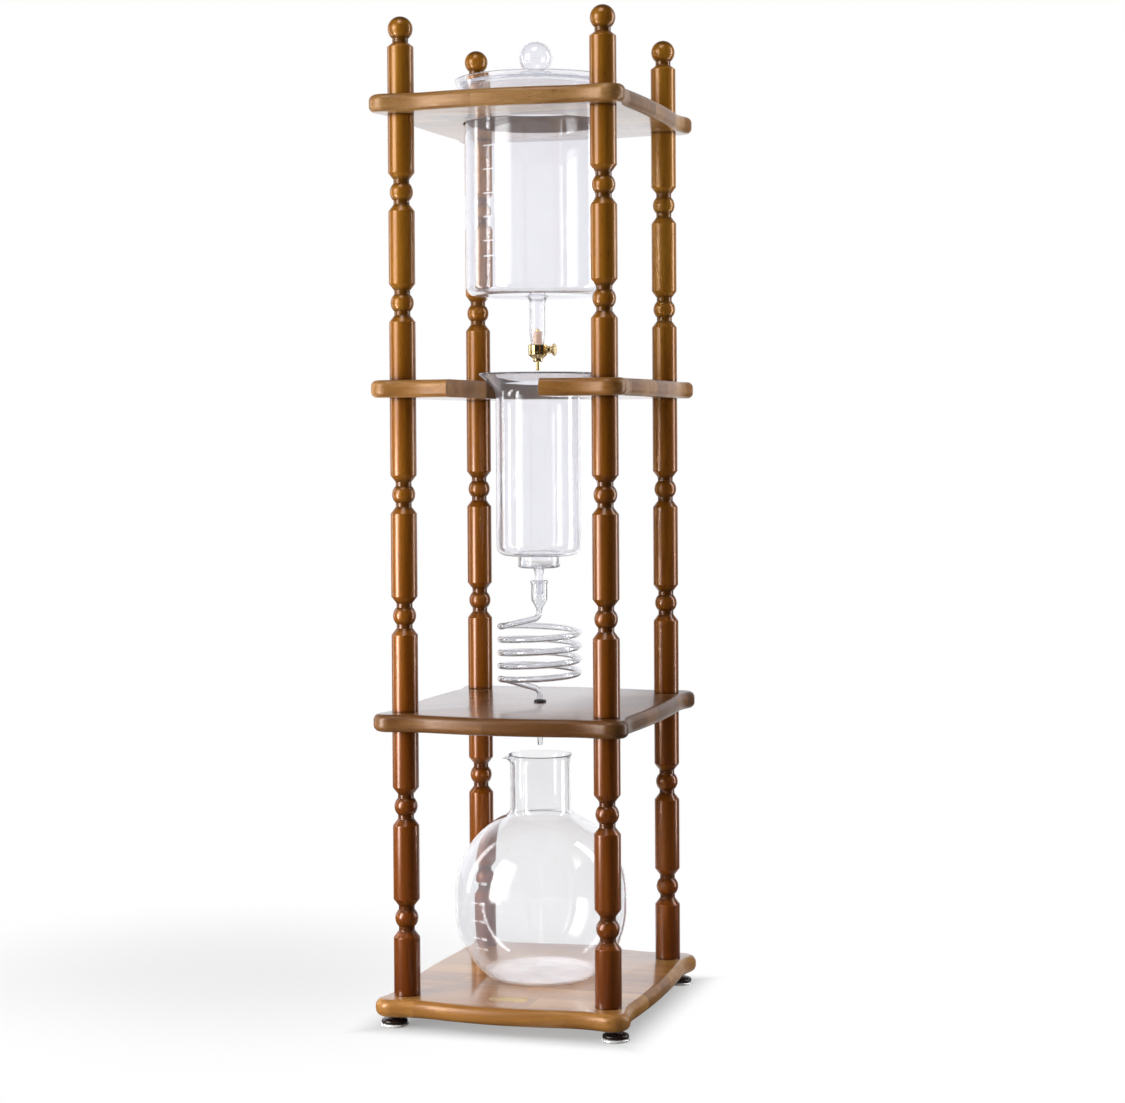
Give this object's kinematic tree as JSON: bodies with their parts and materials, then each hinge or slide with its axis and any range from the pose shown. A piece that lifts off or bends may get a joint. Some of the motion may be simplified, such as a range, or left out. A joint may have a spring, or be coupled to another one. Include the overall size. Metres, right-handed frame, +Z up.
{
  "type": "cold drip coffee tower",
  "caption": "Tall wooden tower of wavy boards on turned posts holding a glass water tank with a drip valve, a coffee chamber, a glass coil and a carafe.",
  "frame": {"origin": "on the floor, under the middle of the frame", "axes": "+Z up; -Y is the open front, where the carafe slides out; +X is the side of the valve knob"},
  "size_m": [0.288, 0.334, 1.1041],
  "materials": {
    "base_board": "stained and satin varnished solid wood",
    "shelf_board": "stained and satin varnished solid wood",
    "middle_board": "stained and satin varnished solid wood",
    "top_board": "stained and satin varnished solid wood",
    "turned_post": "turned, stained golden brown, satin varnish",
    "turned_finial": "turned, stained golden brown, satin varnish",
    "plate_brass": "brushed, blank",
    "bolt_steel": "zinc plated",
    "washer_steel": "zinc plated",
    "stud_steel": "zinc plated threaded rod",
    "insert_brass": "turned",
    "grommet_rubber": "satin black",
    "tank_glass": "clear borosilicate glass",
    "lid_glass": "clear borosilicate glass",
    "stopper_silicone": "amber silicone",
    "valve_brass": "polished",
    "packing_rubber": "black",
    "needle_steel": "ground",
    "knob_brass": "polished, fluted rim",
    "chamber_glass": "clear borosilicate glass",
    "ring_silicone": "translucent white silicone",
    "filter_ceramic": "porous white ceramic, plain",
    "coil_glass": "clear borosilicate glass",
    "carafe_glass": "clear borosilicate glass",
    "foot_pad_chrome": "polished",
    "foot_hub_plastic": "dark brown",
    "foot_stud_steel": "zinc plated"
  },
  "bodies": {
    "frame": {"base_bolts": "bolt_steel", "base_plate": "base_board", "base_washers": "washer_steel", "finial_back_left": "turned_finial", "finial_back_right": "turned_finial", "finial_front_left": "turned_finial", "finial_front_right": "turned_finial", "foot_inserts": "insert_brass", "lower_post_back_left": "turned_post", "lower_post_back_right": "turned_post", "lower_post_front_left": "turned_post", "lower_post_front_right": "turned_post", "lower_shelf": "shelf_board", "middle_plate": "middle_board", "middle_post_back_left": "turned_post", "middle_post_back_right": "turned_post", "middle_post_front_left": "turned_post", "middle_post_front_right": "turned_post", "middle_studs": "stud_steel", "name_plate": "plate_brass", "post_inserts": "insert_brass", "shelf_grommet": "grommet_rubber", "shelf_studs": "stud_steel", "top_plate": "top_board", "top_studs": "stud_steel", "upper_post_back_left": "turned_post", "upper_post_back_right": "turned_post", "upper_post_front_left": "turned_post", "upper_post_front_right": "turned_post"},
    "tank": {"water_tank": "tank_glass", "valve_stopper": "stopper_silicone", "valve_body": "valve_brass", "packing_nut": "valve_brass", "packing_ring": "packing_rubber"},
    "lid": {"tank_lid": "lid_glass"},
    "needle": {"valve_needle": "needle_steel"},
    "knob": {"valve_knob": "knob_brass"},
    "chamber": {"coffee_chamber": "chamber_glass"},
    "filter": {"filter_ring": "ring_silicone", "filter_disc": "filter_ceramic"},
    "coil": {"drip_coil": "coil_glass"},
    "carafe": {"carafe": "carafe_glass"},
    "foot_front_left": {"foot_pad_front_left": "foot_pad_chrome", "foot_hub_front_left": "foot_hub_plastic", "foot_stud_front_left": "foot_stud_steel"},
    "foot_front_right": {"foot_pad_front_right": "foot_pad_chrome", "foot_hub_front_right": "foot_hub_plastic", "foot_stud_front_right": "foot_stud_steel"},
    "foot_back_right": {"foot_pad_back_right": "foot_pad_chrome", "foot_hub_back_right": "foot_hub_plastic", "foot_stud_back_right": "foot_stud_steel"},
    "foot_back_left": {"foot_pad_back_left": "foot_pad_chrome", "foot_hub_back_left": "foot_hub_plastic", "foot_stud_back_left": "foot_stud_steel"}
  },
  "joints": [
    {"name": "tank_lift", "type": "slide", "parent": "frame", "child": "tank", "axis": [0, 0, 1], "range_m": [0, 0.32]},
    {"name": "lid_lift", "type": "slide", "parent": "tank", "child": "lid", "axis": [0, 0, 1], "range_m": [0, 0.06]},
    {"name": "needle_travel", "type": "slide", "parent": "tank", "child": "needle", "axis": [1, 0, 0], "range_m": [0, 0.00142]},
    {"name": "knob_turn", "type": "hinge", "parent": "needle", "child": "knob", "pos_m": [0.0184, 0, 0.7422], "axis": [1, 0, 0], "range_deg": [0, 720]},
    {"name": "chamber_lift", "type": "slide", "parent": "frame", "child": "chamber", "axis": [0, 0, 1], "range_m": [0, 0.03]},
    {"name": "filter_lift", "type": "slide", "parent": "chamber", "child": "filter", "axis": [0, 0, 1], "range_m": [0, 0.19]},
    {"name": "coil_turn", "type": "hinge", "parent": "frame", "child": "coil", "pos_m": [0, 0, 0.354], "axis": [0, 0, 1], "range_deg": [-90, 90]},
    {"name": "carafe_slide", "type": "slide", "parent": "frame", "child": "carafe", "axis": [0, -1, 0], "range_m": [0, 0.27]},
    {"name": "foot_front_left_screw", "type": "slide", "parent": "frame", "child": "foot_front_left", "axis": [0, 0, -1], "range_m": [-0.0022, 0.006]},
    {"name": "foot_front_right_screw", "type": "slide", "parent": "frame", "child": "foot_front_right", "axis": [0, 0, -1], "range_m": [-0.0022, 0.006]},
    {"name": "foot_back_right_screw", "type": "slide", "parent": "frame", "child": "foot_back_right", "axis": [0, 0, -1], "range_m": [-0.0022, 0.006]},
    {"name": "foot_back_left_screw", "type": "slide", "parent": "frame", "child": "foot_back_left", "axis": [0, 0, -1], "range_m": [-0.0022, 0.006]}
  ],
  "couplings": [
    {"joint": "needle_travel", "follows": "knob_turn", "m_per_rad": 0.00011141}
  ]
}
